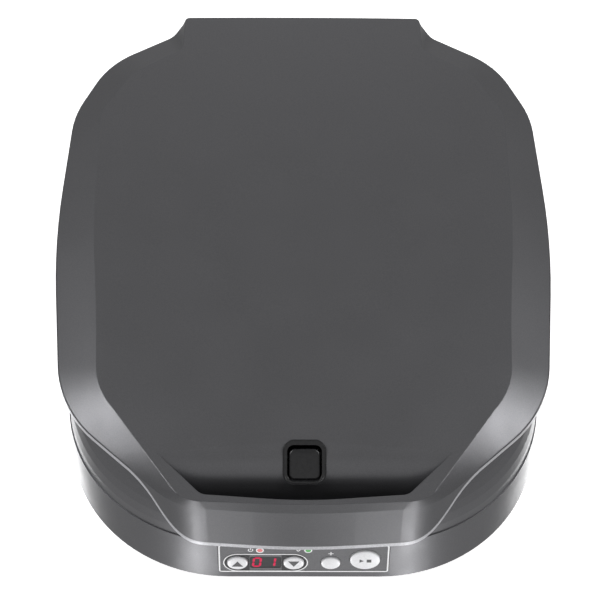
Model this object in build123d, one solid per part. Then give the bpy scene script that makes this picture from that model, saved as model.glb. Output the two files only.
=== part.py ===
"""Countertop pancake maker: base with cooking plate and front panel, hinged lid with handle and latch.

Millimetres, +Z up, front is -Y, origin on the table under the middle of the bounding box.
"""

import os
from math import atan2, cos, radians, sin, tan

from build123d import *

os.makedirs("parts", exist_ok=True)

# Heights
foot_height = 5.0
split_z = 40.0
deck_z = 70.0
handle_rim_z = 45.0
side_rim_z = 76.0
top_edge_z = 84.0
crown_z = 87.5
crown_radius = 4000.0

# Plan of the base: front edge, widest half width, back edge
base_front_y = -193.25
base_front_draft = 4.2
base_half_width = 157.5
base_widest_y = 10.0
base_back_y = 160.0
base_corner_x = 135.4
base_corner_r = 100.0
base_back_half = 150.0
base_back_r = 60.0
split_corner_in = 0.6
split_step = 0.7
deck_inset = 10.0
shoulder_turn = 75.0
shoulder_steps = 5

# A bowed corner has no radius of its own: its tangents take this share of the shorter run
bowed = 0.0
bow_share = 0.4

# Plan of the lid at its rim
rim_front_y = -186.0
front_bow = 5.0
rim_corner_x = 75.7
rim_corner_r = 50.0
rim_shoulder_x = 147.8
rim_shoulder_y = -118.0
rim_shoulder_r = 80.0
rim_half_width = 158.2
rim_widest_y = 8.0
rim_rear_x = 151.5
rim_rear_y = 112.0
rim_rear_r = 70.0
rim_back_x = 130.5
rim_back_y = 157.0
rim_back_r = 60.0
cover_root_x = 88.0
cover_root_y = 182.0
cover_root_r = 14.0
cover_half = 80.5
cover_back_y = 195.6
cover_corner_r = 4.0
handle_skirt_out = 5.5
skirt_corner_in = 1.0
skirt_shoulder_out = 2.0
skirt_shoulder_front = 3.0

# Plan of the lid at its top edge
top_front_y = -184.9
top_front_bow = 3.5
top_corner_x = 69.0
top_corner_r = 18.0
top_shoulder_x = 126.0
top_shoulder_y = -109.0
top_shoulder_r = 60.0
top_half_width = 137.5
top_widest_y = 15.0
top_rear_x = 133.0
top_rear_y = 108.0
top_rear_r = 35.0
top_back_x = 113.0
top_back_y = 142.0
top_back_r = 35.0
top_cover_root_x = 80.5
top_cover_root_y = 163.0
top_cover_root_r = 10.0
top_cover_half = 79.0
top_cover_back_y = 193.9
top_cover_corner_r = 3.0

# Walls
wall = 3.0
floor_thickness = 3.0
trim_height = 3.0
trim_width = 4.0
lid_gap = 1.5

# Rim line under the handle, an S from the side height to the handle height
swoop_in_x = 62.0
swoop_out_x = 106.0

# Finger slot behind the handle
handle_wall = 4.0
roll_start_y = -144.25
roll_radius = 27.2
slot_floor_z = 50.0
slot_half_back = 104.0
slot_half_front = 62.0
slot_side_y = -137.0
slot_lean = 8.0
slot_corner_r = 8.0
slot_side_r = 1.0

# Lid hinge
hinge_behind = 8.0
hinge_z = 62.0
hinge_pin_r = 2.5
hinge_pin_clearance = 0.05
hinge_boss_r = 6.0
hinge_plate = 3.0
hinge_arm_x = 50.0
hinge_bracket_gap = 1.0
hinge_head = 1.5
hinge_head_r = 4.0
hinge_flange_w = 14.0
hinge_flange_t = 2.5
hinge_bracket_in = 14.0
hinge_bracket_length = 14.0
hinge_arm_in = 42.0

# Cooking plates
plate_w = 236.0
plate_d = 226.0
plate_y = -4.0
plate_r = 26.0
plate_lip = 4.0
plate_flange = 2.0
plate_fit = 0.5
lower_plate_body = 8.0
upper_plate_body = 3.4
plate_gap = 0.6
mould_r = 49.0
mould_pitch = 108.0
lower_mould_depth = 6.0
upper_mould_depth = 2.0
mould_draft = 2.5

# Lid frame that carries the upper plate
frame_thickness = 2.5
frame_lift = 1.0
frame_side_fit = 0.5

# Heaters, reflectors and sensors
heater_w = 180.0
heater_d = 170.0
heater_r = 30.0
heater_band = 8.0
lower_heater_h = 6.0
upper_heater_h = 2.5
reflector_t = 1.0
reflector_margin = 12.0
thermostat_r = 8.0
thermostat_h = 8.0
fuse_r = 2.0
fuse_length = 14.0
fuse_x = 34.0

# Control panel on the front wall, in the plane of that wall
panel_half = 51.5
panel_low = 10.0
panel_high = 37.5
panel_t = 2.4
panel_corner_r = 2.0
panel_fit = 0.15
panel_ear = 4.0
panel_ear_t = 1.5
panel_ear_gap = 0.7
panel_ear_edge = 3.0
post_r = 2.2
post_inset_x = 2.7
post_inset_y = 3.2
board_depth = 10.0
board_t = 1.6
board_margin = 1.0
button_fit = 0.35
button_proud = 1.0
button_travel = 0.8
button_flange = 1.2
button_flange_t = 1.2
button_flange_gap = 0.3
button_stem_r = 1.5
button_stem = 2.1
button_edge = 0.4
switch_size = 6.0
switch_gap = 0.4
row_z = 19.7
arrow_r = 6.3
up_x = -40.0
down_x = -6.0
mode_r = 5.9
mode_x = 16.3
start_r = 9.2
start_x = 37.0
start_z = 23.0
window_w = 19.0
window_h = 11.5
window_r = 1.5
window_t = 1.5
window_recess = 0.3
led_r = 1.7
led_z = 32.0
led_length = 4.0
led_proud = 0.3
power_led_x = -26.4
ready_led_x = 2.6

# Latch on the roll of the lid, leaning with the roll
latch_lean = 30.5
latch_pin_depth = 15.2
latch_pin_r = 1.5
latch_pin_clearance = 0.05
bezel_size = 25.4
bezel_r = 6.0
bezel_depth = 7.0
bezel_proud = 0.4
key_opening_w = 20.6
key_opening_h = 21.4
key_w = 18.4
key_h = 17.6
key_drop = 1.4
key_corner_r = 3.0
key_sink = 0.3
key_barrel_r = 4.0
ear_x = 11.3
ear_t = 2.0
ear_r = 3.6
hook_half = 5.0
hook_t = 2.5
hook_behind_pin = 2.74
toe_reach = 2.1
toe_z = 50.0
toe_t = 2.5
catch_gap = 0.5
catch_w = 2.5
catch_lift = 1.6
catch_h = 2.5

# Notch and latch well in the front of the base
notch_back_y = -157.0
well_half = 17.0
well_back_y = -136.0
well_floor_z = 45.0
notch_floor_t = 2.0
notch_floor_fit = 0.3

# Feet, screws, boards and cord inlet
foot_r = 10.0
foot_side_in = 52.5
foot_front_in = 68.25
foot_back_in = 40.0
screw_side_in = 31.5
screw_front_in = 105.25
screw_back_in = 42.0
column_r = 4.5
screw_r = 1.5
screw_head_r = 3.4
screw_head = 1.6
screw_length = 14.0
board_w = 90.0
board_d = 60.0
board_y = 60.0
standoff_h = 6.0
standoff_r = 3.0
standoff_inset = 6.0
terminal_x = 18.0
terminal_dy = 12.0
terminal_w = 32.0
terminal_d = 12.0
terminal_h = 14.0
relay_x = -20.0
relay_dy = 8.0
relay_w = 19.0
relay_d = 15.5
relay_h = 15.0
gland_x = 60.0
gland_z = 22.0
gland_bore_r = 3.6
gland_r = 6.0
gland_flange_r = 9.0
gland_flange = 2.5
gland_inside = 6.0


# Places and limits that follow from the sizes
reach = base_half_width + rim_half_width
hinge_y = base_back_y + hinge_behind
hinge_bracket_back_y = base_back_y - hinge_bracket_in
hinge_bracket_front_y = hinge_bracket_back_y - hinge_bracket_length
hinge_arm_front_y = base_back_y - hinge_arm_in
foot_x = base_half_width - foot_side_in
foot_front_y = base_front_y + foot_front_in
foot_back_y = base_back_y - foot_back_in
screw_x = base_half_width - screw_side_in
screw_front_y = base_front_y + screw_front_in
screw_back_y = base_back_y - screw_back_in


def with_bow(corners, i):
    """Corner i with a radius whose tangents take a share of its shorter run."""
    x0, y0, _ = corners[i - 1]
    x1, y1, _ = corners[i]
    x2, y2, _ = corners[(i + 1) % len(corners)]
    into = Vector(x1 - x0, y1 - y0)
    away = Vector(x2 - x1, y2 - y1)
    half_turn = radians(into.get_angle(away)) / 2
    return x1, y1, bow_share * min(into.length, away.length) / tan(half_turn)


def closed_corners(half):
    """Corner list of a closed plan outline from its right-hand half, front to back."""
    corners = half + [(-x, y, r) for x, y, r in reversed(half) if x > 0]
    return [corner if corner[2] > bowed else with_bow(corners, i) for i, corner in enumerate(corners)]


def inset_corners(corners, distance):
    """The same outline moved inward, with each corner radius following it."""
    count = len(corners)
    moved = []
    for i in range(count):
        x0, y0, _ = corners[i - 1]
        x1, y1, r = corners[i]
        x2, y2, _ = corners[(i + 1) % count]
        a = atan2(y1 - y0, x1 - x0)
        b = atan2(y2 - y1, x2 - x1)
        turn = sin(b - a)
        half_angle = (b - a) / 2
        mean = (a + b) / 2
        if abs(b - a) > 3.2:
            mean += radians(180)
        reach = distance / abs(cos(half_angle))
        grown = r - distance if turn > 0 else r + distance
        moved.append((x1 - reach * sin(mean), y1 + reach * cos(mean), max(grown, 0.5)))
    return moved


def outline(corners, z, inset=0.0):
    """Closed wire through the corner list at height z."""
    points = inset_corners(corners, inset)
    flat = [(x, y) for x, y, _ in points]
    line = FilletPolyline(*flat, radius=[r for _, _, r in points], close=True)
    return Pos(0, 0, z) * Wire(line.edges())


def stack(*wires):
    """Solid ruled through the wires, bottom to top."""
    return Solid.make_loft(list(wires), ruled=True)


def box(x0, x1, y0, y1, z0, z1):
    """Axis-aligned box from its limits."""
    return Pos((x0 + x1) / 2, (y0 + y1) / 2, (z0 + z1) / 2) * Box(x1 - x0, y1 - y0, z1 - z0)


def rounded_plate(width, depth, radius, z0, z1, y=0.0):
    """Vertical plate with rounded corners, centred on x = 0."""
    face = Pos(0, y, z0) * RectangleRounded(width, depth, radius)
    return extrude(face, z1 - z0)


def rod_x(x0, x1, y, z, radius):
    """Cylinder along X."""
    return Pos((x0 + x1) / 2, y, z) * Rot(0, 90, 0) * Cylinder(radius, x1 - x0)


def one(shape):
    """The largest solid of a result."""
    return max(shape.solids(), key=lambda s: s.volume)


parts = {}


def keep(name, shape):
    parts[name] = shape


# Base outlines
base_half = [
    (base_corner_x, base_front_y, base_corner_r),
    (base_half_width, base_widest_y, bowed),
    (base_back_half, base_back_y, base_back_r),
]
split_half = [
    (base_corner_x - split_corner_in, base_front_y + base_front_draft, base_corner_r),
    (base_half_width, base_widest_y, bowed),
    (base_back_half, base_back_y, base_back_r),
]
base_low = closed_corners(base_half)
base_split = closed_corners(split_half)

# Lid outlines
rim_half = [
    (0, rim_front_y - front_bow, bowed),
    (rim_corner_x, rim_front_y, rim_corner_r),
    (rim_shoulder_x, rim_shoulder_y, rim_shoulder_r),
    (rim_half_width, rim_widest_y, bowed),
    (rim_rear_x, rim_rear_y, rim_rear_r),
    (rim_back_x, rim_back_y, rim_back_r),
    (cover_root_x, cover_root_y, cover_root_r),
    (cover_half, cover_back_y, cover_corner_r),
]
top_half = [
    (0, top_front_y - top_front_bow, bowed),
    (top_corner_x, top_front_y, top_corner_r),
    (top_shoulder_x, top_shoulder_y, top_shoulder_r),
    (top_half_width, top_widest_y, bowed),
    (top_rear_x, top_rear_y, top_rear_r),
    (top_back_x, top_back_y, top_back_r),
    (top_cover_root_x, top_cover_root_y, top_cover_root_r),
    (top_cover_half, top_cover_back_y, top_cover_corner_r),
]
skirt_front_y = rim_front_y - handle_skirt_out
skirt_half = [
    (0, skirt_front_y - front_bow, bowed),
    (rim_corner_x - skirt_corner_in, skirt_front_y, rim_corner_r),
    (rim_shoulder_x + skirt_shoulder_out, rim_shoulder_y - skirt_shoulder_front, rim_shoulder_r),
] + rim_half[3:]
over = 1.5
over_half = [
    tuple(a + over * (b - a) for a, b in zip(low, high)) for low, high in zip(rim_half, top_half)
]
over_z = side_rim_z + over * (top_edge_z - side_rim_z)
rim = closed_corners(rim_half)
top = closed_corners(top_half)
skirt = closed_corners(skirt_half)
over_top = closed_corners(over_half)


def crown(drop):
    """Ball whose top is the crowned top face of the lid."""
    return Pos(0, 0, crown_z - drop - crown_radius) * Sphere(crown_radius)


def lid_block(inset, drop):
    """Closed outer form of the lid, moved inward and down."""
    low = outline(skirt, split_z - drop, inset)
    mid = outline(rim, side_rim_z - drop, inset)
    high = outline(over_top, over_z - drop, inset)
    block = stack(low, mid) + stack(mid, high)
    return block & crown(drop)


def above_rim(drop, back_y):
    """Everything above the rim line of the lid, in front of back_y."""
    side = side_rim_z - drop
    low = handle_rim_z - drop
    mid = (swoop_in_x + swoop_out_x) / 2
    front_y = -reach
    sky = crown_z + reach
    right = Bezier(
        (swoop_in_x, front_y, low),
        (mid, front_y, low),
        (mid, front_y, side),
        (swoop_out_x, front_y, side),
    )
    left = Bezier(
        (-swoop_out_x, front_y, side),
        (-mid, front_y, side),
        (-mid, front_y, low),
        (-swoop_in_x, front_y, low),
    )
    rest = Polyline(
        (swoop_out_x, front_y, side),
        (reach, front_y, side),
        (reach, front_y, sky),
        (-reach, front_y, sky),
        (-reach, front_y, side),
        (-swoop_out_x, front_y, side),
    )
    bottom = Line((-swoop_in_x, front_y, low), (swoop_in_x, front_y, low))
    edges = [right] + list(rest.edges()) + [left, bottom]
    face = Face(Wire([e if isinstance(e, Edge) else e.edge() for e in edges]))
    return Solid.extrude(face, Vector(0, back_y - front_y, 0))


tongue_back_y = notch_back_y - 3.0


def lid_zone(drop):
    """Region that the lid may fill: above its rim line all the way round."""
    rear = box(-reach, reach, tongue_back_y, reach, side_rim_z - drop, crown_z + reach)
    return above_rim(drop, tongue_back_y) + rear


# Finger slot, cut down behind the handle wall
roll_z = crown_z - roll_start_y**2 / (2 * crown_radius) - roll_radius


def handle_inner_y(z):
    """Back face of the handle wall at height z."""
    lift = (z - split_z) / (side_rim_z - split_z)
    return rim_front_y - handle_skirt_out * (1 - lift) + handle_wall


def slot_cutter(grow):
    """Finger slot with its rolled back edge, grown into the material."""
    r = roll_radius - grow
    sky = crown_z + roll_radius
    back_y = roll_start_y
    foot_y = roll_start_y - r
    floor_z = slot_floor_z - grow
    mid = (back_y - r * sin(radians(45)), roll_z + r * cos(radians(45)))
    front_y = -reach
    x0 = -reach
    chain = [
        Line((x0, back_y, sky), (x0, back_y, roll_z + r)),
        ThreePointArc((x0, back_y, roll_z + r), (x0, *mid), (x0, foot_y, roll_z)),
        Line((x0, foot_y, roll_z), (x0, foot_y, floor_z)),
        Line((x0, foot_y, floor_z), (x0, front_y, floor_z)),
        Line((x0, front_y, floor_z), (x0, front_y, sky)),
        Line((x0, front_y, sky), (x0, back_y, sky)),
    ]
    face = Face(Wire([c.edge() for c in chain]))
    profile = Solid.extrude(face, Vector(2 * reach, 0, 0))

    def plan(z, lean):
        wide = slot_half_back - lean + grow
        narrow = slot_half_front - lean + grow
        edge_y = handle_inner_y(z)
        front = (narrow, front_y, slot_side_r) if grow else (0, edge_y - front_bow, bowed)
        corners = closed_corners([
            front,
            (narrow, edge_y, slot_corner_r),
            (wide, slot_side_y, slot_side_r),
            (wide, roll_start_y + roll_radius, slot_side_r),
        ])
        points = [(x, y) for x, y, _ in corners]
        line = FilletPolyline(*points, radius=[c[2] for c in corners], close=True)
        return Pos(0, 0, z) * Wire(line.edges())

    sides = stack(plan(slot_floor_z - 15, slot_lean * 1.3), plan(sky, -slot_lean * 0.6))
    return profile & sides


# Lid shell: hollow form, slot walls kept, latch seat cut
lean = radians(latch_lean)
latch_plane = Plane(
    origin=(0, roll_start_y - roll_radius * sin(lean), roll_z + roll_radius * cos(lean)),
    x_dir=(1, 0, 0),
    z_dir=(0, -sin(lean), cos(lean)),
)
pin_at = latch_plane.origin - latch_plane.z_dir * latch_pin_depth
lid_outer = lid_block(0, 0) - slot_cutter(0)
lid_cavity = lid_block(wall, wall) - slot_cutter(wall)
bezel_hole = latch_plane * extrude(RectangleRounded(bezel_size, bezel_size, bezel_r), bezel_size, both=True)
lid_shell = (lid_outer - lid_cavity) & lid_zone(0)
lid_shell = one(lid_shell - bezel_hole)
keep("lid_shell", lid_shell)

# Bright trim that closes the lower edge of the lid
trim_ring = lid_block(0, 0) - lid_block(trim_width, wall)
trim_band = lid_zone(trim_height) - lid_zone(0)
keep("lid_trim", one(trim_ring & trim_band))

# Cooking plates
lower_flange_z = deck_z
lower_top_z = deck_z + plate_flange
upper_bottom_z = lower_top_z + plate_gap
frame_z = upper_bottom_z + frame_lift
frame_top_z = frame_z + frame_thickness
upper_top_z = frame_top_z + plate_flange
body_w = plate_w - 2 * plate_lip
body_d = plate_d - 2 * plate_lip
body_r = plate_r - plate_lip
lower_bottom_z = deck_z - lower_plate_body

mould_centres = [(i * mould_pitch / 2, plate_y + j * mould_pitch / 2) for i in (-1, 1) for j in (-1, 1)]
lower_plate = rounded_plate(plate_w, plate_d, plate_r, lower_flange_z, lower_top_z, plate_y)
lower_plate += rounded_plate(body_w, body_d, body_r, lower_bottom_z, lower_flange_z, plate_y)
upper_plate = rounded_plate(plate_w, plate_d, plate_r, frame_top_z, upper_top_z, plate_y)
upper_plate += rounded_plate(body_w, body_d, body_r, upper_bottom_z, frame_top_z, plate_y)
for cx, cy in mould_centres:
    low = Pos(cx, cy, lower_top_z - lower_mould_depth / 2)
    lower_plate -= low * Cone(mould_r - mould_draft, mould_r, lower_mould_depth)
    high = Pos(cx, cy, upper_bottom_z + upper_mould_depth / 2)
    upper_plate -= high * Cone(mould_r, mould_r - mould_draft, upper_mould_depth)
keep("lower_cooking_plate", one(lower_plate))
keep("upper_cooking_plate", one(upper_plate))

# Lid frame: flat ring inside the lid edge, open for the plate, the latch and the hinge cover
frame_block = lid_block(trim_width + frame_side_fit, wall)
slab = box(-reach, reach, well_back_y, base_back_y, frame_z, frame_top_z)
lid_frame = frame_block & slab
plate_hole = rounded_plate(
    body_w + 2 * plate_fit, body_d + 2 * plate_fit, body_r + plate_fit, frame_z - 1, frame_top_z + 1, plate_y
)
lid_frame = one(lid_frame - plate_hole)
keep("lid_frame", lid_frame)


def heater(z0, height):
    ring = rounded_plate(heater_w, heater_d, heater_r, z0, z0 + height, plate_y)
    inner_w = heater_w - 2 * heater_band
    inner_d = heater_d - 2 * heater_band
    return ring - rounded_plate(inner_w, inner_d, heater_r - heater_band, z0, z0 + height, plate_y)


keep("lower_heater", one(heater(lower_bottom_z - lower_heater_h, lower_heater_h)))
keep("upper_heater", one(heater(upper_top_z, upper_heater_h)))

reflector_w = heater_w + reflector_margin
reflector_d = heater_d + reflector_margin
lower_reflector_z = lower_bottom_z - lower_heater_h - reflector_t
lower_reflector = rounded_plate(
    reflector_w, reflector_d, heater_r, lower_reflector_z, lower_reflector_z + reflector_t, plate_y
)
lower_reflector -= Pos(0, plate_y, lower_reflector_z) * Cylinder(thermostat_r + 1, 4)
keep("lower_reflector", one(lower_reflector))
upper_reflector_z = upper_top_z + upper_heater_h
upper_reflector = rounded_plate(
    reflector_w, reflector_d, heater_r, upper_reflector_z, upper_reflector_z + reflector_t, plate_y
)
keep("upper_reflector", upper_reflector)
thermostat = Pos(0, plate_y, lower_bottom_z - thermostat_h / 2) * Cylinder(thermostat_r, thermostat_h)
keep("thermostat", thermostat)
fuse = rod_x(fuse_x - fuse_length / 2, fuse_x + fuse_length / 2, plate_y, lower_bottom_z - fuse_r, fuse_r)
keep("thermal_fuse", fuse)

# Base lower shell with floor, standoffs and panel opening
floor_z = foot_height
lower_outer = stack(outline(base_low, floor_z), outline(base_split, split_z))
lower_inner = stack(
    outline(base_low, floor_z, wall),
    outline(base_split, split_z, wall),
)
hollow_zone = box(-reach, reach, -reach, reach, floor_z + floor_thickness, split_z + wall)
lower_shell = lower_outer - (lower_inner & hollow_zone)

tilt = atan2(base_front_draft, split_z - floor_z)
panel_mid = (panel_low + panel_high) / 2
panel_front_y = base_front_y + base_front_draft * (panel_mid - floor_z) / (split_z - floor_z)
panel_plane = Plane(
    origin=(0, panel_front_y, panel_mid),
    x_dir=(1, 0, 0),
    z_dir=(0, -cos(tilt), sin(tilt)),
)
panel_h = (panel_high - panel_low) / cos(tilt)
wall_depth = wall * cos(tilt)


def on_panel(x, z):
    """Point of the front wall at x and height z, as panel coordinates."""
    return x, (z - panel_mid) / cos(tilt)


def panel_block(face, top, bottom):
    """Solid on the panel plane between two depths, outward positive."""
    return panel_plane * (Pos(0, 0, bottom) * extrude(face, top - bottom))


opening = RectangleRounded(2 * (panel_half + panel_fit), panel_h + 2 * panel_fit, panel_corner_r)
lower_shell -= panel_block(opening, 5, -wall - 2)
board_floor = floor_z + floor_thickness
standoffs = [
    (sx * (board_w / 2 - standoff_inset), board_y + sy * (board_d / 2 - standoff_inset))
    for sx in (-1, 1)
    for sy in (-1, 1)
]
for x, y in standoffs:
    lower_shell += Pos(x, y, board_floor + standoff_h / 2) * Cylinder(standoff_r, standoff_h)
screw_spots = {
    "front_left": (-screw_x, screw_front_y),
    "front_right": (screw_x, screw_front_y),
    "back_left": (-screw_x, screw_back_y),
    "back_right": (screw_x, screw_back_y),
}
for name, (x, y) in screw_spots.items():
    head = Pos(x, y, floor_z + screw_head / 2) * Cylinder(screw_head_r, screw_head)
    shaft_z = floor_z + screw_head
    shaft = Pos(x, y, shaft_z + screw_length / 2) * Cylinder(screw_r, screw_length)
    screw = head + shaft
    lower_shell -= screw
    keep("case_screw_" + name, screw)
gland_hole = Pos(gland_x, base_back_y, gland_z) * Rot(90, 0, 0) * Cylinder(gland_r, 4 * wall)
lower_shell = one(lower_shell - gland_hole)
keep("base_lower_shell", lower_shell)

# Base upper shell: shoulder, deck, notch for the handle and well for the latch
base_drop = trim_height + lid_gap


def notch(grow):
    """Space left for the handle and the latch hook, grown into the material."""
    front = above_rim(base_drop + grow, notch_back_y + grow)
    well = box(
        -well_half - grow,
        well_half + grow,
        notch_back_y - 5,
        well_back_y + grow,
        well_floor_z - grow,
        crown_z,
    )
    return front + well


def upper_block(inset, lift):
    """Outer form of the upper half of the base, with its shoulder rounded over."""
    rings = []
    full = radians(shoulder_turn)
    for step in range(shoulder_steps + 1):
        turn = full * step / shoulder_steps
        rise = (deck_z - lift - split_z) * sin(turn) / sin(full)
        draw = (deck_inset - split_step) * (1 - cos(turn)) / (1 - cos(full))
        rings.append(outline(base_split, split_z + rise, inset + split_step + draw))
    return stack(*rings)


upper_outer = upper_block(0, 0) - notch(0)
upper_cavity = upper_block(wall, wall) - notch(wall)
upper_shell = upper_outer - upper_cavity
notch_floor = stack(
    outline(base_split, split_z - notch_floor_t, wall + notch_floor_fit),
    outline(base_split, split_z, wall + notch_floor_fit),
)
notch_zone = box(-swoop_in_x, swoop_in_x, -reach, notch_back_y + wall, 0, split_z)
upper_shell += notch_floor & notch_zone
deck_hole = rounded_plate(
    body_w + 2 * plate_fit, body_d + 2 * plate_fit, body_r + plate_fit, deck_z - 5, deck_z + 1, plate_y
)
upper_shell -= deck_hole
for name, (x, y) in screw_spots.items():
    low = floor_z + floor_thickness
    column = Pos(x, y, (low + deck_z - wall) / 2) * Cylinder(column_r, deck_z - wall - low)
    upper_shell += column
    upper_shell -= parts["case_screw_" + name]

# Hinge brackets hang under the deck and reach back through slots in the rear wall
pin_spots = {}
for side, sign in (("left", -1), ("right", 1)):
    arm_in = hinge_arm_x - hinge_plate
    arm_out = hinge_arm_x
    lug_in = arm_out + hinge_bracket_gap
    lug_out = lug_in + hinge_plate
    flange_top = deck_z - wall
    lug = box(lug_in, lug_out, hinge_bracket_front_y, hinge_y, hinge_z - hinge_boss_r, flange_top)
    lug -= box(lug_in - 1, lug_out + 1, hinge_bracket_back_y + 2, hinge_y + 9, hinge_z + hinge_boss_r, deck_z)
    lug += rod_x(lug_in, lug_out, hinge_y, hinge_z, hinge_boss_r)
    flange = box(
        lug_out - 0.5,
        lug_out + hinge_flange_w,
        hinge_bracket_front_y,
        hinge_bracket_back_y,
        flange_top - hinge_flange_t,
        flange_top,
    )
    bracket = lug + flange
    bracket -= rod_x(lug_in - 1, lug_out + 1, hinge_y, hinge_z, hinge_pin_r)
    pin = rod_x(arm_in - 1, lug_out + hinge_head, hinge_y, hinge_z, hinge_pin_r)
    pin += rod_x(arm_in - 1 - hinge_head, arm_in - 1, hinge_y, hinge_z, hinge_head_r)
    arm = box(
        arm_in,
        arm_out,
        hinge_y - hinge_boss_r,
        hinge_y + hinge_boss_r,
        hinge_z,
        frame_top_z + hinge_flange_t,
    )
    arm += box(
        arm_in,
        arm_out,
        hinge_arm_front_y,
        hinge_y + hinge_boss_r,
        frame_top_z,
        frame_top_z + hinge_flange_t,
    )
    arm += rod_x(arm_in, arm_out, hinge_y, hinge_z, hinge_boss_r)
    arm += box(
        arm_in - hinge_flange_w,
        arm_in + 0.5,
        hinge_arm_front_y,
        base_back_y - 4,
        frame_top_z,
        frame_top_z + hinge_flange_t,
    )
    arm -= rod_x(arm_in - 1, arm_out + 1, hinge_y, hinge_z, hinge_pin_r + hinge_pin_clearance)
    slot = box(
        lug_in - 0.5,
        lug_out + 0.5,
        hinge_bracket_back_y,
        base_back_y + 5,
        hinge_z - hinge_boss_r - 0.5,
        hinge_z + hinge_boss_r + 0.5,
    )
    if sign < 0:
        bracket = bracket.mirror(Plane.YZ)
        pin = pin.mirror(Plane.YZ)
        arm = arm.mirror(Plane.YZ)
        slot = slot.mirror(Plane.YZ)
    upper_shell -= slot
    arm -= parts["upper_cooking_plate"]
    keep("hinge_bracket_" + side, one(bracket))
    keep("hinge_pin_" + side, one(pin))
    keep("hinge_arm_" + side, one(arm))
keep("base_upper_shell", one(upper_shell))

# Cord inlet bush
gland = Pos(gland_x, base_back_y - gland_inside / 2, gland_z) * Rot(90, 0, 0)
gland = gland * Cylinder(gland_r, gland_inside)
gland_cap = Pos(gland_x, base_back_y + gland_flange / 2, gland_z) * Rot(90, 0, 0)
gland += gland_cap * Cylinder(gland_flange_r, gland_flange)
gland -= Pos(gland_x, base_back_y, gland_z) * Rot(90, 0, 0) * Cylinder(gland_bore_r, 4 * gland_inside)
keep("cord_inlet", one(gland))

# Feet
for name, x, y in (
    ("front_left", -foot_x, foot_front_y),
    ("front_right", foot_x, foot_front_y),
    ("back_left", -foot_x, foot_back_y),
    ("back_right", foot_x, foot_back_y),
):
    foot = Pos(x, y, foot_height / 2) * Cylinder(foot_r, foot_height)
    keep("foot_" + name, foot)

# Power board with terminal block and relay
board_z = board_floor + standoff_h
part_z = board_z + board_t
keep("power_board", Pos(0, board_y, board_z + board_t / 2) * Box(board_w, board_d, board_t))
terminal = Pos(terminal_x, board_y + terminal_dy, part_z + terminal_h / 2)
keep("terminal_block", terminal * Box(terminal_w, terminal_d, terminal_h))
relay = Pos(relay_x, board_y + relay_dy, part_z + relay_h / 2)
keep("relay", relay * Box(relay_w, relay_d, relay_h))

# Control panel, its window, lamps, buttons, switches and board
buttons = {
    "up": (up_x, row_z, arrow_r),
    "down": (down_x, row_z, arrow_r),
    "mode": (mode_x, row_z, mode_r),
    "start": (start_x, start_z, start_r),
}
panel = panel_block(RectangleRounded(2 * panel_half, panel_h, panel_corner_r), 0, -panel_t)
ear_h = panel_h - 2 * panel_ear_edge
ear_top = -wall_depth - panel_ear_gap
ear_low = ear_top - panel_ear_t
for sign in (-1, 1):
    ear = Pos(sign * (panel_half + panel_ear / 2), 0) * Rectangle(panel_ear + 2 * panel_fit, ear_h)
    panel += panel_block(ear, ear_top, ear_low)
    root = Pos(sign * (panel_half - panel_ear / 4), 0) * Rectangle(panel_ear / 2, ear_h)
    panel += panel_block(root, -panel_t, ear_low)
    for up in (-1, 1):
        spot = Pos(sign * (panel_half - post_inset_x), up * (panel_h / 2 - post_inset_y))
        panel += panel_block(spot * Circle(post_r), -panel_t, -board_depth)
for x, z, r in buttons.values():
    panel -= panel_block(Pos(*on_panel(x, z)) * Circle(r + button_fit), 2, -panel_t - 1)
window_x = (up_x + down_x) / 2
window_face = Pos(*on_panel(window_x, row_z)) * RectangleRounded(window_w, window_h, window_r)
panel -= panel_block(window_face, 1, -panel_t - 1)
for x in (power_led_x, ready_led_x):
    panel -= panel_block(Pos(*on_panel(x, led_z)) * Circle(led_r), 1, -panel_t - 1)
keep("control_panel", one(panel))
keep("display_window", panel_block(window_face, -window_recess, -window_recess - window_t))
for name, x in (("led_power", power_led_x), ("led_ready", ready_led_x)):
    keep(name, panel_block(Pos(*on_panel(x, led_z)) * Circle(led_r), led_proud, led_proud - led_length))
flange_top = -panel_t - button_flange_gap
flange_low = flange_top - button_flange_t
stem_low = flange_low - button_stem
board_face = Rectangle(2 * (panel_half - board_margin), panel_h - 2 * board_margin)
keep("control_board", panel_block(board_face, -board_depth, -board_depth - board_t))
for name, (x, z, r) in buttons.items():
    spot = Pos(*on_panel(x, z))
    cap = extrude(spot * Circle(r), button_proud - flange_low)
    cap = chamfer(cap.faces().sort_by(Axis.Z)[-1].edges(), button_edge)
    cap = Pos(0, 0, flange_low) * cap
    button = panel_plane * cap
    button += panel_block(spot * Circle(r + button_flange), flange_top, flange_low)
    button += panel_block(spot * Circle(button_stem_r), flange_low, stem_low)
    keep("button_" + name, one(button))
    switch_top = stem_low - button_travel - switch_gap
    keep("switch_" + name, panel_block(spot * Rectangle(switch_size, switch_size), switch_top, -board_depth))

# Latch: bezel with ears and pin on the lid, key and hook that rock on the pin, catch bar in the base
bezel = extrude(RectangleRounded(bezel_size, bezel_size, bezel_r), bezel_depth + bezel_proud)
bezel = Pos(0, 0, -bezel_depth) * bezel
key_hole = Pos(0, -key_drop / 2, -bezel_depth - 1) * extrude(
    RectangleRounded(key_opening_w, key_opening_h, key_corner_r + 1), bezel_depth + 4
)
bezel -= key_hole
for sign in (-1, 1):
    x0 = ear_x if sign > 0 else -ear_x - ear_t
    ear = box(x0, x0 + ear_t, -ear_r, ear_r, -latch_pin_depth, -bezel_depth)
    ear += rod_x(x0, x0 + ear_t, 0, -latch_pin_depth, ear_r)
    bezel += ear
bezel -= rod_x(-bezel_size, bezel_size, 0, -latch_pin_depth, latch_pin_r)
keep("latch_bezel", one(latch_plane * bezel))
latch_pin = rod_x(-ear_x - ear_t, ear_x + ear_t, 0, -latch_pin_depth, latch_pin_r)
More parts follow.
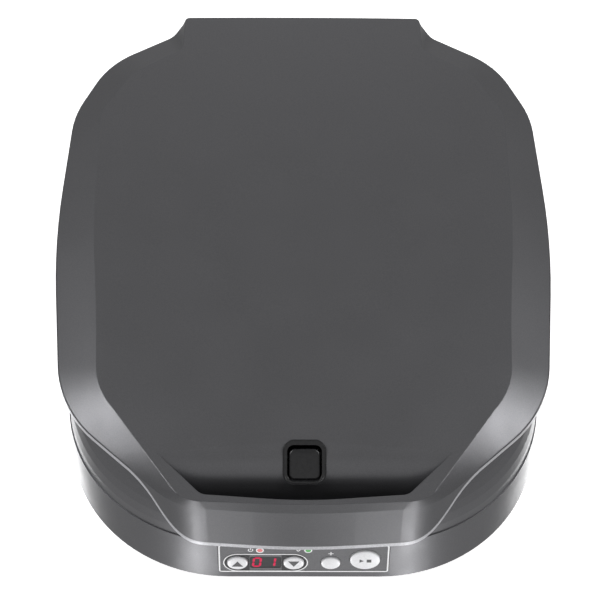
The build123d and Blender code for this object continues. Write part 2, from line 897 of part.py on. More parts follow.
keep("latch_pin", latch_plane * latch_pin)
key = Pos(0, -key_drop, -bezel_depth - 3) * extrude(
    RectangleRounded(key_w, key_h, key_corner_r), bezel_depth + 3 - key_sink
)
key = chamfer(key.faces().sort_by(Axis.Z)[-1].edges(), 1.0)
key += box(-key_w / 2, key_w / 2, -key_barrel_r, key_barrel_r, -latch_pin_depth, -bezel_depth - 2)
key += rod_x(-key_w / 2, key_w / 2, 0, -latch_pin_depth, key_barrel_r)
key -= rod_x(-bezel_size, bezel_size, 0, -latch_pin_depth, latch_pin_r + latch_pin_clearance)
key = one(latch_plane * key)
keep("latch_key", key)
hook_back_y = pin_at.Y + hook_behind_pin
hook_front_y = hook_back_y - hook_t
hook = box(-hook_half, hook_half, hook_front_y, hook_back_y, toe_z, pin_at.Z)
hook += box(-hook_half, hook_half, hook_front_y - toe_reach, hook_back_y, toe_z, toe_z + toe_t)
hook -= rod_x(-bezel_size, bezel_size, pin_at.Y, pin_at.Z, key_barrel_r)
hook -= key
keep("latch_hook", one(hook))
catch_back_y = hook_front_y - toe_reach - catch_gap
catch_z = toe_z + toe_t + catch_lift
catch = box(-well_half, well_half, catch_back_y - catch_w, catch_back_y, catch_z, catch_z + catch_h)
keep("latch_catch", catch)

for name, shape in parts.items():
    export_step(shape, "parts/" + name + ".step")
    print(name, len(shape.solids()), round(shape.volume))
print("latch pin at", pin_at)
print("latch plane", latch_plane.origin, latch_plane.z_dir)
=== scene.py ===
import math

import bmesh
import bpy
from mathutils import Matrix, Vector


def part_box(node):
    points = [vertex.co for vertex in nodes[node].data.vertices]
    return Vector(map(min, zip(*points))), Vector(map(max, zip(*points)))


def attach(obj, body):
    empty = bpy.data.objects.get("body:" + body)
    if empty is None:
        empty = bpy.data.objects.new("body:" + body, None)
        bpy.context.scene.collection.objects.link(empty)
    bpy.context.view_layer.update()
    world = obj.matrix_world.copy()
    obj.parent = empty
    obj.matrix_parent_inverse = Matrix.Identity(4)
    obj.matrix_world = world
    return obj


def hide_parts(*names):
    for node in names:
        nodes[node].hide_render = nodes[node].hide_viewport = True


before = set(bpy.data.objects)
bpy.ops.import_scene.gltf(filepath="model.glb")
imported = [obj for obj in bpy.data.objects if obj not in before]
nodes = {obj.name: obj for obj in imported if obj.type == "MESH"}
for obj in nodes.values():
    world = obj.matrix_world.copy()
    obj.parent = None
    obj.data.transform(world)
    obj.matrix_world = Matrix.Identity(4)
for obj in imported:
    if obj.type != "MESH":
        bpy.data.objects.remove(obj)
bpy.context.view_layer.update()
scene = bpy.context.scene
MM = 0.001


# Camera: in front of the object, high, almost on its middle line
CAMERA_TURN = -0.018198
CAMERA_HEIGHT = 0.942478
CAMERA_ROLL = 0.017522
CAMERA_FAR = 1.400
CAMERA_AIM = Vector((0, -0.00275, 0.060))
CAMERA_SEES = 20
FOCAL_PIXELS = 2189.1
IMAGE_PIXELS = 600
SHIFT_PIXELS = (-3.13, -29.81)
SENSOR = 36.0


def make_camera():
    level = math.cos(CAMERA_HEIGHT)
    ahead = Vector((
        -math.sin(CAMERA_TURN) * level,
        math.cos(CAMERA_TURN) * level,
        -math.sin(CAMERA_HEIGHT),
    ))
    right = ahead.cross(Vector((0, 0, 1))).normalized()
    up = right.cross(ahead).normalized()
    side = math.cos(CAMERA_ROLL) * right + math.sin(CAMERA_ROLL) * up
    top = -math.sin(CAMERA_ROLL) * right + math.cos(CAMERA_ROLL) * up
    place = CAMERA_AIM - ahead * CAMERA_FAR
    data = bpy.data.cameras.new("camera")
    data.sensor_width = SENSOR
    data.lens = FOCAL_PIXELS / IMAGE_PIXELS * SENSOR
    data.shift_x = SHIFT_PIXELS[0] / IMAGE_PIXELS
    data.shift_y = SHIFT_PIXELS[1] / IMAGE_PIXELS
    data.clip_end = CAMERA_SEES
    obj = bpy.data.objects.new("camera", data)
    m = Matrix.Identity(4)
    for row in range(3):
        m[row][0], m[row][1], m[row][2], m[row][3] = side[row], top[row], -ahead[row], place[row]
    obj.matrix_world = m
    scene.collection.objects.link(obj)
    scene.camera = obj


make_camera()
scene.view_settings.view_transform = "Standard"
scene.view_settings.look = "None"


# Light: a dim even room, and soft boxes whose reflections draw the corners of lid, handle and base
ROOM = 0.40
BOX_AIM = Vector((0, 0, 0.05))
SIDE_BOX_AWAY = 1.5
MIDDLE_BOX_AWAY = 1.8
# Name, direction, size and glow; each side box is made on the left and on the right
SIDE_BOXES = (
    ("band", (0.65, 0.04, 0.76), 0.50, 9.0),
    ("wall", (0.45, 0.32, -0.83), 0.60, 4.0),
    ("handle", (0.26, -0.69, -0.68), 0.20, 20.0),
)
MIDDLE_BOXES = (
    ("back", (0, 1.0, 0.45), 0.9, 0.5),
    ("front", (0, -0.75, 0.65), 1.3, 0.30),
)


def soft_box(name, direction, distance, size, glow):
    """Square light seen from the object in a direction, with a given brightness."""
    data = bpy.data.lights.new(name, "AREA")
    data.shape = "SQUARE"
    data.size = size
    data.energy = glow * math.pi * size * size
    obj = bpy.data.objects.new(name, data)
    obj.location = BOX_AIM + Vector(direction).normalized() * distance
    obj.rotation_euler = (BOX_AIM - obj.location).to_track_quat("-Z", "Y").to_euler()
    scene.collection.objects.link(obj)


def make_world():
    """The room that surfaces reflect, and plain white where the camera sees past the object."""
    world = bpy.data.worlds.new("studio")
    scene.world = world
    world.use_nodes = True
    tree = world.node_tree
    room = tree.nodes["Background"]
    room.inputs["Color"].default_value = (1, 1, 1, 1)
    room.inputs["Strength"].default_value = ROOM
    seen = tree.nodes.new("ShaderNodeBackground")
    seen.inputs["Color"].default_value = (1, 1, 1, 1)
    path = tree.nodes.new("ShaderNodeLightPath")
    mix = tree.nodes.new("ShaderNodeMixShader")
    tree.links.new(path.outputs["Is Camera Ray"], mix.inputs["Fac"])
    tree.links.new(room.outputs["Background"], mix.inputs[1])
    tree.links.new(seen.outputs["Background"], mix.inputs[2])
    tree.links.new(mix.outputs["Shader"], tree.nodes["World Output"].inputs["Surface"])


make_world()
for tag, sign in (("left", -1), ("right", 1)):
    for name, (x, y, z), size, glow in SIDE_BOXES:
        soft_box(name + "_" + tag, (sign * x, y, z), SIDE_BOX_AWAY, size, glow)
for name, direction, size, glow in MIDDLE_BOXES:
    soft_box(name, direction, MIDDLE_BOX_AWAY, size, glow)


# Materials: one fine grain drives colour and relief, and a wide one drives the gloss
GRAIN_DETAIL = 3.0
GRAIN_ROUGHNESS = 0.6
GRAIN_STOPS = (0.32, 0.68)
WIDE_SHARE = 60
WIDE_SCALE_MIN = 6
WIDE_ROUGHNESS = 0.55
WIDE_RANGE = (0.3, 0.7)
COAT_ROUGHNESS = 0.1
EDGE_SAMPLES = 4
GLOW_SCALE = 900
GLOW_DETAIL = 2.0
GLOW_GRAIN_ROUGHNESS = 0.5
GLOW_STOPS = (0.3, 0.7)
GLOW_LOW = 0.8
GLOW_ROUGHNESS = 0.25
COOL = 1.05


def new_material(name):
    mat = bpy.data.materials.new(name)
    mat.use_nodes = True
    tree = mat.node_tree
    return mat, tree, tree.nodes["Principled BSDF"]


def coords(tree, scale=(1, 1, 1)):
    tc = tree.nodes.new("ShaderNodeTexCoord")
    mp = tree.nodes.new("ShaderNodeMapping")
    mp.inputs["Scale"].default_value = scale
    tree.links.new(tc.outputs["Object"], mp.inputs["Vector"])
    return mp.outputs["Vector"]


def noise(tree, vector, scale, detail, rough):
    n = tree.nodes.new("ShaderNodeTexNoise")
    n.inputs["Scale"].default_value = scale
    n.inputs["Detail"].default_value = detail
    n.inputs["Roughness"].default_value = rough
    tree.links.new(vector, n.inputs["Vector"])
    return n.outputs["Fac"]


def ramp(tree, fac, places, colours):
    r = tree.nodes.new("ShaderNodeValToRGB")
    for stop, place, colour in zip(r.color_ramp.elements, places, colours):
        stop.position = place
        stop.color = (*colour, 1)
    tree.links.new(fac, r.inputs["Fac"])
    return r.outputs["Color"]


def spread(tree, fac, low, high):
    m = tree.nodes.new("ShaderNodeMapRange")
    m.inputs["From Min"].default_value, m.inputs["From Max"].default_value = WIDE_RANGE
    m.inputs["To Min"].default_value = low
    m.inputs["To Max"].default_value = high
    tree.links.new(fac, m.inputs["Value"])
    return m.outputs["Result"]


def bump(tree, bsdf, height, strength, distance, edge):
    """Relief from the grain; edge rounds the shading of sharp edges over that distance."""
    b = tree.nodes.new("ShaderNodeBump")
    b.inputs["Strength"].default_value = strength
    b.inputs["Distance"].default_value = distance
    tree.links.new(height, b.inputs["Height"])
    if edge:
        soft = tree.nodes.new("ShaderNodeBevel")
        soft.samples = EDGE_SAMPLES
        soft.inputs["Radius"].default_value = edge
        tree.links.new(soft.outputs["Normal"], b.inputs["Normal"])
    tree.links.new(b.outputs["Normal"], bsdf.inputs["Normal"])


def grained(name, dark, light, scale, rough, metallic=0.0, relief=0.05, relief_deep=0.0001,
            stretch=(1, 1, 1), coat=0.0, specular=0.5, edge=0.0):
    """Fine-grained surface from a dark to a light colour, with a range of roughness."""
    mat, tree, bsdf = new_material(name)
    vec = coords(tree, stretch)
    grain = noise(tree, vec, scale, GRAIN_DETAIL, GRAIN_ROUGHNESS)
    tree.links.new(ramp(tree, grain, GRAIN_STOPS, (dark, light)), bsdf.inputs["Base Color"])
    wide_scale = max(scale / WIDE_SHARE, WIDE_SCALE_MIN)
    wide = noise(tree, vec, wide_scale, GRAIN_DETAIL, WIDE_ROUGHNESS)
    tree.links.new(spread(tree, wide, *rough), bsdf.inputs["Roughness"])
    bsdf.inputs["Metallic"].default_value = metallic
    bsdf.inputs["Coat Weight"].default_value = coat
    bsdf.inputs["Coat Roughness"].default_value = COAT_ROUGHNESS
    bsdf.inputs["Specular IOR Level"].default_value = specular
    bump(tree, bsdf, grain, relief, relief_deep, edge)
    return mat


def glowing(name, colour, strength, base):
    """Lit surface: a grained base colour with a steady glow."""
    mat, tree, bsdf = new_material(name)
    grain = noise(tree, coords(tree), GLOW_SCALE, GLOW_DETAIL, GLOW_GRAIN_ROUGHNESS)
    low = tuple(c * GLOW_LOW for c in base)
    tree.links.new(ramp(tree, grain, GLOW_STOPS, (low, base)), bsdf.inputs["Base Color"])
    bsdf.inputs["Roughness"].default_value = GLOW_ROUGHNESS
    bsdf.inputs["Emission Color"].default_value = (*colour, 1)
    bsdf.inputs["Emission Strength"].default_value = strength
    return mat


def grey(v):
    return (v, v, v * COOL)


paint = grained("metallic_paint", grey(0.118), grey(0.140), 1500, (0.34, 0.40), metallic=0.75,
                relief=0.16, relief_deep=0.00006, edge=0.0007)
# Painted light: the base has the lid's paint, made a little lighter here for the brighter light on
# its walls
base_paint_painted_light = grained("metallic_paint_base_painted_light", grey(0.134), grey(0.160), 1500, (0.36, 0.42),
                     metallic=0.75, relief=0.14, relief_deep=0.00006, edge=0.0005)
paint_trim = grained("trim_paint", grey(0.42), grey(0.54), 900, (0.34, 0.42), metallic=0.5,
                     relief=0.08, relief_deep=0.00005, edge=0.0006)
black_gloss = grained("black_plastic", (0.010, 0.010, 0.011), (0.016, 0.016, 0.017), 500,
                      (0.22, 0.28), relief=0.03, relief_deep=0.00005, specular=0.4, edge=0.0004)
# Painted shade: near black, for the shadowed gap between the lid's rim and the base's deck
deck_shade_black = grained("painted_gap_shade", (0.003, 0.003, 0.003), (0.006, 0.006, 0.006), 500,
                    (0.7, 0.8), specular=0.1)
black_matt = grained("dark_plastic", (0.012, 0.012, 0.013), (0.022, 0.022, 0.023), 700,
                     (0.45, 0.6), relief=0.2)
nonstick = grained("nonstick", (0.018, 0.018, 0.019), (0.045, 0.044, 0.043), 1400, (0.38, 0.5),
                   metallic=0.3, relief=0.15, edge=0.0006)
steel = grained("brushed_steel", (0.42, 0.42, 0.43), (0.62, 0.62, 0.63), 400, (0.25, 0.38),
                metallic=1.0, stretch=(0.08, 1, 1), relief=0.08, relief_deep=0.00005)
heater_mat = grained("heater_tube", (0.22, 0.20, 0.18), (0.36, 0.33, 0.30), 300, (0.4, 0.55),
                     metallic=0.9, relief=0.1)
rubber = grained("rubber", (0.012, 0.012, 0.012), (0.03, 0.03, 0.03), 800, (0.7, 0.85),
                 relief=0.3, specular=0.25)
panel_mat = grained("panel_film", grey(0.13), grey(0.16), 900, (0.42, 0.5), metallic=0.45,
                    relief=0.03, relief_deep=0.00003)
window_mat = grained("smoked_window", (0.035, 0.035, 0.038), (0.045, 0.045, 0.048), 300,
                     (0.14, 0.2), coat=0.4, relief=0.01, relief_deep=0.00002)
silver = grained("silver_button", (0.74, 0.74, 0.76), (0.82, 0.82, 0.84), 700, (0.30, 0.38),
                 metallic=0.15, relief=0.06, relief_deep=0.00004)
ink_light = grained("light_ink", (0.80, 0.80, 0.81), (0.88, 0.88, 0.89), 600, (0.45, 0.55),
                    relief=0.02)
ink_grey = grained("grey_ink", (0.075, 0.075, 0.08), (0.10, 0.10, 0.105), 600, (0.45, 0.55),
                   relief=0.02)
ink_dark = grained("dark_ink", (0.015, 0.015, 0.017), (0.03, 0.03, 0.033), 600, (0.4, 0.5),
                   relief=0.02)
green_board = grained("circuit_board", (0.01, 0.10, 0.03), (0.02, 0.16, 0.05), 90, (0.3, 0.5),
                      relief=0.1)
white_plastic = grained("white_plastic", (0.7, 0.7, 0.68), (0.82, 0.82, 0.8), 500, (0.4, 0.5),
                        relief=0.1)
ceramic = grained("ceramic", (0.6, 0.57, 0.5), (0.75, 0.72, 0.65), 500, (0.5, 0.65),
                  relief=0.15)
digit_glow = glowing("digit_red", (0.72, 0.008, 0.08), 0.6, (0.28, 0.005, 0.03))
lamp_red = glowing("lamp_red", (0.75, 0.14, 0.15), 0.30, (0.6, 0.2, 0.2))
lamp_green = glowing("lamp_green", (0.10, 0.45, 0.12), 0.22, (0.12, 0.4, 0.13))


# Finish of the construction's own pieces, smooth across gentle turns and crisp at the creases, with
# painted shade on the base's deck under the lid
CREASE = math.radians(14)
BASE_CREASE = math.radians(25)
DECK_Z = 0.065
DECK_LEVEL = 0.9


def dress(mat, *names, crease=CREASE):
    for name in names:
        mesh = nodes[name].data
        mesh.materials.clear()
        mesh.materials.append(mat)
        mesh.shade_smooth()
        mesh.set_sharp_from_angle(angle=crease)


def paint_deck_shade(name, mat):
    """Painted shade: near black on the level faces under the lid, standing in for the shadow in the
    gap between lid and base.
    """
    obj = nodes[name]
    obj.data.materials.append(mat)
    for face in obj.data.polygons:
        if face.normal.z > DECK_LEVEL and (obj.matrix_world @ face.center).z > DECK_Z:
            face.material_index = 1


dress(paint, "lid_shell")
# The base shells get the lighter copy of the lid's paint, which is painted light
dress(base_paint_painted_light, "base_lower_shell", "base_upper_shell", crease=BASE_CREASE)
# Painted shade: the base's level deck under the lid is coloured near black where the gap between
# lid and base lies in shadow
paint_deck_shade("base_upper_shell", deck_shade_black)
dress(paint_trim, "lid_trim")
dress(black_matt, "lid_frame", "latch_pin", "relay",
      "switch_up", "switch_down", "switch_mode", "switch_start")
dress(nonstick, "lower_cooking_plate", "upper_cooking_plate")
dress(heater_mat, "lower_heater", "upper_heater")
dress(steel, "lower_reflector", "upper_reflector", "hinge_bracket_left", "hinge_bracket_right",
      "hinge_arm_left", "hinge_arm_right", "hinge_pin_left", "hinge_pin_right", "latch_catch",
      "case_screw_front_left", "case_screw_front_right",
      "case_screw_back_left", "case_screw_back_right")
dress(rubber, "foot_front_left", "foot_front_right", "foot_back_left", "foot_back_right",
      "cord_inlet")
dress(panel_mat, "control_panel")
dress(window_mat, "display_window")
dress(lamp_red, "led_power")
dress(lamp_green, "led_ready")
dress(silver, "button_up", "button_down", "button_mode", "button_start")
dress(black_gloss, "latch_bezel", "latch_key", "latch_hook")
dress(green_board, "control_board", "power_board")
dress(white_plastic, "terminal_block")
dress(ceramic, "thermostat", "thermal_fuse")


# Planes that pieces are built on: the leaning front panel and the latch on the roll of the lid
class Sheet:
    """Plane with its own u, v and outward w in millimetres."""

    def __init__(self, origin, v_axis, normal):
        self.origin = Vector(origin)
        self.v_axis = Vector(v_axis)
        self.normal = Vector(normal)

    def at(self, u, v, w):
        return (self.origin + Vector((u, 0, 0)) + self.v_axis * v + self.normal * w) * MM

    def uv(self, point):
        """The sheet's u and v of a point of the frame in metres."""
        away = Vector(point) / MM - self.origin
        return away.x, away.dot(self.v_axis)


def middle(name):
    low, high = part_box(name)
    return (Vector(low) + Vector(high)) / 2


PANEL_TILT = math.atan2(4.2, 35.0)
PANEL_FRONT_Y = -193.25
PANEL_FOOT_Z = 5.0
PANEL_Z = 23.75
panel = Sheet(
    (0, PANEL_FRONT_Y + (PANEL_Z - PANEL_FOOT_Z) * math.tan(PANEL_TILT), PANEL_Z),
    (0, math.sin(PANEL_TILT), math.cos(PANEL_TILT)),
    (0, -math.cos(PANEL_TILT), math.sin(PANEL_TILT)),
)
LATCH_LEAN = math.radians(30.5)
ROLL_START_Y = -144.25
ROLL_Z = 57.6994
LATCH_OUT = 27.2
latch = Sheet(
    (0, ROLL_START_Y - LATCH_OUT * math.sin(LATCH_LEAN), ROLL_Z + LATCH_OUT * math.cos(LATCH_LEAN)),
    (0, math.cos(LATCH_LEAN), math.sin(LATCH_LEAN)),
    (0, -math.sin(LATCH_LEAN), math.cos(LATCH_LEAN)),
)
PIECE_CREASE = math.radians(35)


def finish_piece(name, bm, mat, body, replaces=None, smooth=False):
    bmesh.ops.recalc_face_normals(bm, faces=bm.faces)
    mesh = bpy.data.meshes.new(name)
    bm.to_mesh(mesh)
    bm.free()
    obj = bpy.data.objects.new(name, mesh)
    scene.collection.objects.link(obj)
    mesh.materials.append(mat)
    if smooth:
        mesh.shade_smooth()
        mesh.set_sharp_from_angle(angle=PIECE_CREASE)
    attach(obj, body)
    if replaces:
        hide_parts(replaces)


def join_loops(bm, here, there):
    """Faces between two loops of vertices."""
    n = len(here)
    for i in range(n):
        j = (i + 1) % n
        bm.faces.new((here[i], here[j], there[j], there[i]))


def prism(name, outlines, low, high, mat, body="base"):
    """Flat pieces on the panel; each outline is a list of (u, v), or such a list and its hole."""
    bm = bmesh.new()
    for item in outlines:
        outer, hole = item if isinstance(item, tuple) else (item, None)
        edges = [(outer, low), (outer, high)]
        if hole:
            edges += [(hole, high), (hole, low)]
        loops = [[bm.verts.new(panel.at(u, v, w)) for u, v in pts] for pts, w in edges]
        if hole:
            for k in range(len(loops)):
                join_loops(bm, loops[k], loops[(k + 1) % len(loops)])
        else:
            lower, upper = loops
            bm.faces.new(upper)
            bm.faces.new(lower[::-1])
            join_loops(bm, lower, upper)
    finish_piece(name, bm, mat, body)


def lofted(name, rings, mat, body, sheet, replaces=None, wrap=False):
    """Skin through rings of points (u, v, w): closed at both ends, or wrapped round to a frame."""
    bm = bmesh.new()
    loops = [[bm.verts.new(sheet.at(*p)) for p in ring] for ring in rings]
    for here, there in zip(loops, loops[1:]):
        join_loops(bm, here, there)
    if wrap:
        join_loops(bm, loops[-1], loops[0])
    else:
        bm.faces.new(loops[0][::-1])
        bm.faces.new(loops[-1])
    finish_piece(name, bm, mat, body, replaces, smooth=True)


# Outlines on a sheet
QUARTERS = ((1, -1, -90), (1, 1, 0), (-1, 1, 90), (-1, -1, 180))
DISC_STEPS = 48


def rounded(cu, cv, half_u, half_v, r, steps=8):
    """Rounded rectangle, with each corner in a number of steps."""
    pts = []
    for qu, qv, start in QUARTERS:
        for i in range(steps + 1):
            a = math.radians(start + 90 * i / steps)
            pts.append((cu + qu * (half_u - r) + r * math.cos(a),
                        cv + qv * (half_v - r) + r * math.sin(a)))
    return pts


def band(cu, cv, half_u, half_v, r, width):
    """Outline of an even width, as a rounded rectangle and its hole."""
    return (rounded(cu, cv, half_u, half_v, r),
            rounded(cu, cv, half_u - width, half_v - width, r - width))


def disc(cu, cv, r):
    turns = [2 * math.pi * i / DISC_STEPS for i in range(DISC_STEPS)]
    return [(cu + r * math.cos(a), cv + r * math.sin(a)) for a in turns]


def triangle(cu, cv, half, tall, sign):
    """Triangle that points up where sign is 1 and down where it is -1."""
    foot = cv - sign * tall / 2
    pts = [(cu - half, foot), (cu + half, foot), (cu, cv + sign * tall / 2)]
    return pts if sign > 0 else pts[::-1]


def arc_band(cu, cv, r, t, start, end, steps=24):
    """Arc of width t round a centre, in degrees, as four-cornered pieces."""
    outer = []
    inner = []
    for i in range(steps + 1):
        a = math.radians(start + (end - start) * i / steps)
        outer.append((cu + (r + t / 2) * math.cos(a), cv + (r + t / 2) * math.sin(a)))
        inner.append((cu + (r - t / 2) * math.cos(a), cv + (r - t / 2) * math.sin(a)))
    return [[outer[i], outer[i + 1], inner[i + 1], inner[i]] for i in range(steps)]


def stroke(u0, v0, u1, v1, t):
    """Straight line of width t."""
    du, dv = u1 - u0, v1 - v0
    n = math.hypot(du, dv)
    du, dv = du / n * t / 2, dv / n * t / 2
    return [(u0 - dv, v0 + du), (u0 + dv, v0 - du), (u1 + dv, v1 - du), (u1 - dv, v1 + du)]


# Buttons: a flanged cup with a rounded rim and a low domed top, as (growth or share of r, w)
BUTTON_PROFILE = (
    (1.2, -3.9), (1.2, -2.75), (0.0, -2.7), (0.0, 0.35), (-0.12, 0.68), (-0.42, 0.92),
)
BUTTON_DOME = ((0.86, 1.04), (0.66, 1.16), (0.42, 1.24), (0.18, 1.28))
BUTTONS = ("up", "down", "mode", "start")
button_at = {}
for tag in BUTTONS:
    low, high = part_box("button_" + tag)
    radius = (high[0] - low[0]) / 2 / MM - BUTTON_PROFILE[0][0]
    u, v = panel.uv(middle("button_" + tag))
    button_at[tag] = (u, v, radius)
    sections = [(radius + grow, w) for grow, w in BUTTON_PROFILE]
    sections += [(radius * share, w) for share, w in BUTTON_DOME]
    rings = [[(a, b, w) for a, b in disc(u, v, r)] for r, w in sections]
    lofted("cap_" + tag, rings, silver, "button_" + tag, panel, replaces="button_" + tag)

up_u, up_v, _ = button_at["up"]
down_u, down_v, arrow_r = button_at["down"]
start_u, start_v, _ = button_at["start"]
mode_u, mode_v, mode_r = button_at["mode"]

# Signs on the buttons: up, down, and a start and stop sign
SIGN_LOW, SIGN_HIGH = 0.9, 1.34
ARROW_HALF, ARROW_TALL = 3.3, 5.2
PLAY_LEFT, PLAY_RIGHT, PLAY_HALF = -3.4, -0.7, 1.6
STOP_LEFT, STOP_RIGHT, STOP_HALF = 0.9, 3.7, 1.4
prism("arrow_up", [triangle(up_u, up_v, ARROW_HALF, ARROW_TALL, 1)],
      SIGN_LOW, SIGN_HIGH, ink_grey, body="button_up")
prism("arrow_down", [triangle(down_u, down_v, ARROW_HALF, ARROW_TALL, -1)],
      SIGN_LOW, SIGN_HIGH, ink_grey, body="button_down")
play = [(start_u + PLAY_LEFT, start_v + PLAY_HALF), (start_u + PLAY_LEFT, start_v - PLAY_HALF),
        (start_u + PLAY_RIGHT, start_v)]
stop = [(start_u + STOP_LEFT, start_v - STOP_HALF), (start_u + STOP_RIGHT, start_v - STOP_HALF),
        (start_u + STOP_RIGHT, start_v + STOP_HALF), (start_u + STOP_LEFT, start_v + STOP_HALF)]
prism("start_stop_sign", [play, stop], SIGN_LOW, SIGN_HIGH, ink_grey, body="button_start")

# Panel outline, and a capsule round the two arrow buttons with its dark fill
OUTLINE_LOW = -0.1
PANEL_HALF_U, PANEL_HALF_V, PANEL_R = 51.3, 13.62, 1.8
PANEL_LINE, PANEL_LINE_HIGH = 0.9, 0.30
CAPSULE_HALF_U, CAPSULE_HALF_V, CAPSULE_R = 25.6, 8.9, 8.88
CAPSULE_LINE, CAPSULE_LINE_HIGH = 0.65, 0.25
FILL_LOW, FILL_HIGH = -0.05, 0.10
FILL_INSET_U = 0.6
FILL_BUTTON_GAP = 0.4
FILL_ARC_STEPS = 30
FILL_EDGE_STEPS = 8
WINDOW_HALF_U = 9.7
capsule_u = (up_u + down_u) / 2
prism("panel_outline", [band(0, 0, PANEL_HALF_U, PANEL_HALF_V, PANEL_R, PANEL_LINE)],
      OUTLINE_LOW, PANEL_LINE_HIGH, ink_light)
prism("capsule_outline",
      [band(capsule_u, up_v, CAPSULE_HALF_U, CAPSULE_HALF_V, CAPSULE_R, CAPSULE_LINE)],
      OUTLINE_LOW, CAPSULE_LINE_HIGH, ink_light)


def half_capsule(sign):
    """Dark fill from the window round the outside of one arrow button, which is left free."""
    centre = up_u if sign < 0 else down_u
    edge = sign * WINDOW_HALF_U + capsule_u
    hole = arrow_r + FILL_BUTTON_GAP
    half_u = CAPSULE_HALF_U - FILL_INSET_U
    r = CAPSULE_HALF_V - CAPSULE_LINE
    outline = [(edge, up_v - r)]
    for i in range(FILL_ARC_STEPS + 1):
        a = math.radians(-90 + 180 * i / FILL_ARC_STEPS)
        outline.append((capsule_u + sign * (half_u - r + r * math.cos(a)), up_v + r * math.sin(a)))
    outline += [(edge, up_v + r - 2 * r * i / FILL_EDGE_STEPS) for i in range(FILL_EDGE_STEPS)]
    inner = []
    for a, b in outline:
        t = math.atan2(b - up_v, a - centre)
        inner.append((centre + hole * math.cos(t), up_v + hole * math.sin(t)))
    n = len(outline)
    return [[outline[i], outline[(i + 1) % n], inner[(i + 1) % n], inner[i]] for i in range(n)]


prism("capsule_fill", half_capsule(-1) + half_capsule(1), FILL_LOW, FILL_HIGH, ink_dark)

# Figures of the window, in seven segments
SEGMENTS = {"0": "abcdef", "1": "bc"}
DIGIT_TALL = 8.4
DIGIT_LINE = 1.35
DIGIT_SLANT = 0.10
DIGIT_GAP = 0.14
DIGIT_LOW, DIGIT_HIGH = -0.35, -0.12
# Figure, middle and width
DIGITS = (("0", -28.2, 4.2), ("1", -19.9, 4.8))


def digit(which, cu, cv, wide):
    """Seven-segment figure."""
    hw, hh, e = wide / 2, DIGIT_TALL / 2, DIGIT_GAP

    def bar(u0, v0, u1, v1):
        """Segment with pointed ends."""
        du, dv = u1 - u0, v1 - v0
        n = math.hypot(du, dv)
        g = DIGIT_LINE / 2
        du, dv = du / n * g, dv / n * g
        pts = [(u0, v0), (u0 + du - dv, v0 + dv + du), (u1 - du - dv, v1 - dv + du),
               (u1, v1), (u1 - du + dv, v1 - dv - du), (u0 + du + dv, v0 + dv - du)]
        return [(cu + u + DIGIT_SLANT * v, cv + v) for u, v in pts][::-1]

    places = {
        "a": (-hw + e, hh, hw - e, hh), "b": (hw, hh - e, hw, e), "c": (hw, -e, hw, -hh + e),
        "d": (-hw + e, -hh, hw - e, -hh), "e": (-hw, -hh + e, -hw, -e), "f": (-hw, e, -hw, hh - e),
    }
    return [bar(*places[s]) for s in SEGMENTS[which]]


bars = [b for which, cu, wide in DIGITS for b in digit(which, cu, up_v, wide)]
prism("display_digits", bars, DIGIT_LOW, DIGIT_HIGH, digit_glow)

# Signs beside the lamps and above the small button: power sign, tick and plus; lamp rings
MARK_LOW, MARK_HIGH = -0.05, 0.08
MARK_LINE = 0.55
LAMP_LIFT = 0.2
LAMP_R = 1.7
RING_OUT, RING_LINE, RING_HIGH = 0.35, 0.7, 0.32
MARK_BESIDE_LAMP = 5.6
POWER_R, POWER_LINE = 1.35, 0.5
POWER_FROM, POWER_TO = 125, 415
POWER_STEM = (0.2, 1.8)
TICK = ((-1.4, 0.1, -0.3, -1.2), (-0.4, -1.2, 1.7, 1.5))
PLUS_ABOVE_BUTTON = 3.2
PLUS_HALF = 1.6
red_u, _ = panel.uv(middle("led_power"))
green_u, led_v = panel.uv(middle("led_ready"))
lamp_v = led_v + LAMP_LIFT
power_u = red_u - MARK_BESIDE_LAMP
tick_u = green_u - MARK_BESIDE_LAMP
plus_v = mode_v + mode_r + PLUS_ABOVE_BUTTON
power_sign = arc_band(power_u, lamp_v, POWER_R, POWER_LINE, POWER_FROM, POWER_TO)
power_sign.append(stroke(power_u, lamp_v + POWER_STEM[0], power_u, lamp_v + POWER_STEM[1],
                         POWER_LINE))
tick_sign = [stroke(tick_u + u0, lamp_v + v0, tick_u + u1, lamp_v + v1, MARK_LINE)
             for u0, v0, u1, v1 in TICK]
plus_sign = [stroke(mode_u - PLUS_HALF, plus_v, mode_u + PLUS_HALF, plus_v, MARK_LINE),
             stroke(mode_u, plus_v - PLUS_HALF, mode_u, plus_v + PLUS_HALF, MARK_LINE)]
prism("panel_signs", power_sign + tick_sign + plus_sign, MARK_LOW, MARK_HIGH, ink_light)
lamp_rings = [piece for u in (red_u, green_u)
              for piece in arc_band(u, lamp_v, LAMP_R + RING_OUT, RING_LINE, 0, 360)]
prism("lamp_rings", lamp_rings, MARK_LOW, RING_HIGH, ink_light)

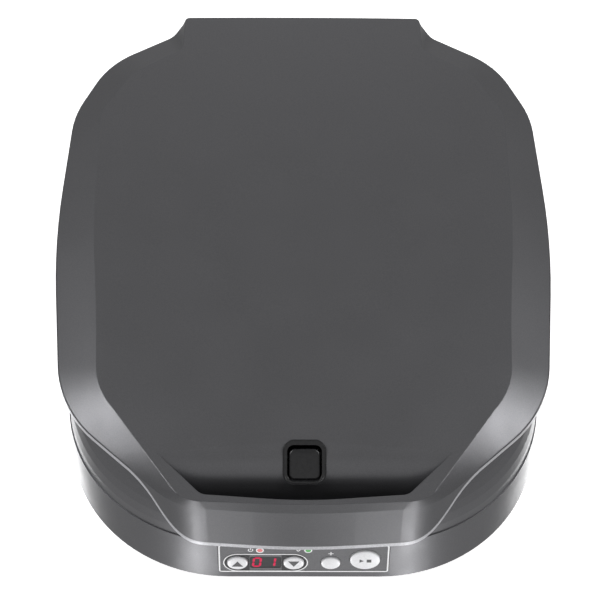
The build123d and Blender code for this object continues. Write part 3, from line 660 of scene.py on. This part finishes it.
# Latch: arched rocker key in a dished bezel; the profiles are (inset, w) from the outside in
LATCH_ARCH = 0.9
BEZEL_HALF = 12.7
BEZEL_R, BEZEL_R_MIN = 6.0, 2.5
BEZEL_PROFILE = (
    (0.0, -7.0), (0.0, -0.2), (0.25, 0.4), (0.7, 0.5), (1.1, 0.25), (1.5, -0.7), (2.0, -1.1),
    (2.5, -1.4), (2.55, -7.0),
)
KEY_HALF_U, KEY_HALF_V = 9.2, 8.8
KEY_V = -1.4
KEY_R, KEY_R_MIN = 3.2, 0.8
KEY_PROFILE = (
    (0.0, -5.5), (0.0, -1.2), (0.15, -0.7), (0.5, -0.35), (1.0, -0.2), (3.0, -0.12), (6.0, -0.08),
)


def arched(cv, half_u, half_v, r, w):
    """Rounded square at height w whose upper edge bows outward."""
    pts = []
    for u, v in rounded(0, cv, half_u, half_v, r, steps=10):
        lift = max(0.0, (v - cv) / half_v)
        pts.append((u, v + LATCH_ARCH * lift * (1 - (u / half_u) ** 2), w))
    return pts


bezel_rings = [
    arched(0, BEZEL_HALF - inset, BEZEL_HALF - inset, max(BEZEL_R - inset, BEZEL_R_MIN), w)
    for inset, w in BEZEL_PROFILE
]
lofted("latch_surround", bezel_rings, black_gloss, "lid", latch, wrap=True)
key_rings = [
    arched(KEY_V, KEY_HALF_U - inset, KEY_HALF_V - inset, max(KEY_R - inset / 2, KEY_R_MIN), w)
    for inset, w in KEY_PROFILE
]
lofted("latch_rocker", key_rings, black_gloss, "latch", latch)


# Floor: plain and white, without shadow
FLOOR_REACH = 4.0
FLOOR_COLOUR = 0.8
FLOOR_ROUGHNESS = 0.9
FLOOR_GLOW = 0.85


def make_floor():
    r = FLOOR_REACH
    mesh = bpy.data.meshes.new("floor")
    mesh.from_pydata([(-r, -r, 0), (r, -r, 0), (r, r, 0), (-r, r, 0)], [], [(0, 1, 2, 3)])
    obj = bpy.data.objects.new("floor", mesh)
    scene.collection.objects.link(obj)
    mat, _, bsdf = new_material("floor_white")
    bsdf.inputs["Base Color"].default_value = (FLOOR_COLOUR, FLOOR_COLOUR, FLOOR_COLOUR, 1)
    bsdf.inputs["Roughness"].default_value = FLOOR_ROUGHNESS
    bsdf.inputs["Specular IOR Level"].default_value = 0.0
    bsdf.inputs["Emission Color"].default_value = (1, 1, 1, 1)
    bsdf.inputs["Emission Strength"].default_value = FLOOR_GLOW
    mesh.materials.append(mat)
    obj.visible_shadow = False
    obj.visible_glossy = False


make_floor()
